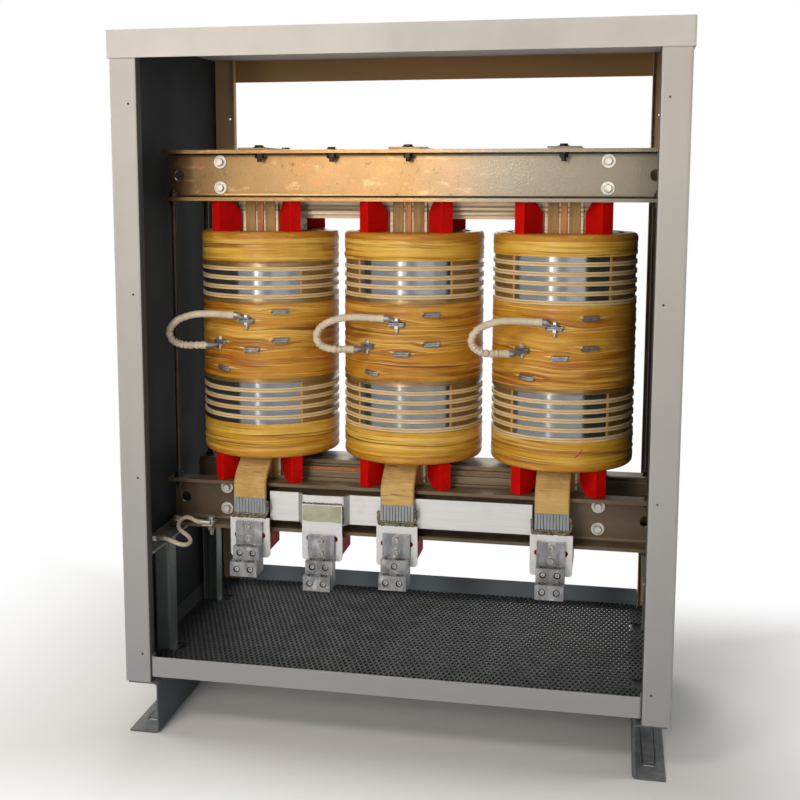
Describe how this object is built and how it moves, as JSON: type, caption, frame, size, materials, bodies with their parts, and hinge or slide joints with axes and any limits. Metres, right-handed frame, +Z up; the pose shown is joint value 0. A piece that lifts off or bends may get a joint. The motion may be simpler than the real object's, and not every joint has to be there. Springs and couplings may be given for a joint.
{
  "type": "dry-type power transformer",
  "caption": "Three-phase dry-type power transformer: core, amber coils, taps and terminal lugs in an open grey steel enclosure on two feet.",
  "frame": {"origin": "on the floor, under the middle of the enclosure", "axes": "+Z up, +X to the right seen from the front, -Y towards the front where the terminals are"},
  "size_m": [1.228, 0.708, 1.582],
  "materials": {
    "enclosure": "satin grey paint",
    "mesh": "dull dark steel with dust and rust at the edges",
    "rubber": "matt",
    "clamp_steel": "brown mill scale",
    "core_steel": "varnished laminations",
    "rod_steel": "dark plated",
    "coil_resin": "amber resin over glass tape",
    "glass_tape": "woven glass tape",
    "duct_board": "pressed board",
    "copper": "lacquered strip",
    "red_board": "red glass polyester",
    "aluminium": "bright",
    "sleeve": "braided glass sleeve"
  },
  "bodies": {
    "root": {"top_cap": "enclosure", "front_left_post": "enclosure", "front_right_post": "enclosure", "rear_left_post": "enclosure", "rear_right_post": "enclosure", "left_side_panel": "enclosure", "right_side_panel": "enclosure", "front_base_rail": "enclosure", "rear_base_rail": "enclosure", "left_base_rail": "enclosure", "right_base_rail": "enclosure", "left_foot": "enclosure", "right_foot": "enclosure", "left_shelf": "enclosure", "right_shelf": "enclosure", "shelf_legs": "enclosure", "mesh_floor": "mesh", "rubber_pads": "rubber", "upper_front_clamp": "clamp_steel", "upper_rear_clamp": "clamp_steel", "lower_front_clamp": "clamp_steel", "lower_rear_clamp": "clamp_steel", "tie_plates": "clamp_steel", "upper_yoke": "core_steel", "lower_yoke": "core_steel", "core_legs": "core_steel", "tie_rods": "rod_steel", "left_coil": "coil_resin", "middle_coil": "coil_resin", "right_coil": "coil_resin", "inner_windings": "coil_resin", "bare_turns": "glass_tape", "left_lead": "glass_tape", "middle_lead": "glass_tape", "right_lead": "glass_tape", "duct_sticks": "duct_board", "leg_boards": "duct_board", "leg_strips": "copper", "upper_blocks": "red_board", "lower_blocks": "red_board", "standoffs": "red_board", "winding_taps": "aluminium", "terminal_pads": "aluminium", "neutral_bus": "aluminium", "left_lug": "aluminium", "neutral_lug": "aluminium", "middle_lug": "aluminium", "right_lug": "aluminium", "strap_lugs": "aluminium", "left_jumper": "sleeve", "middle_jumper": "sleeve", "right_jumper": "sleeve", "ground_strap": "sleeve"}
  },
  "joints": []
}
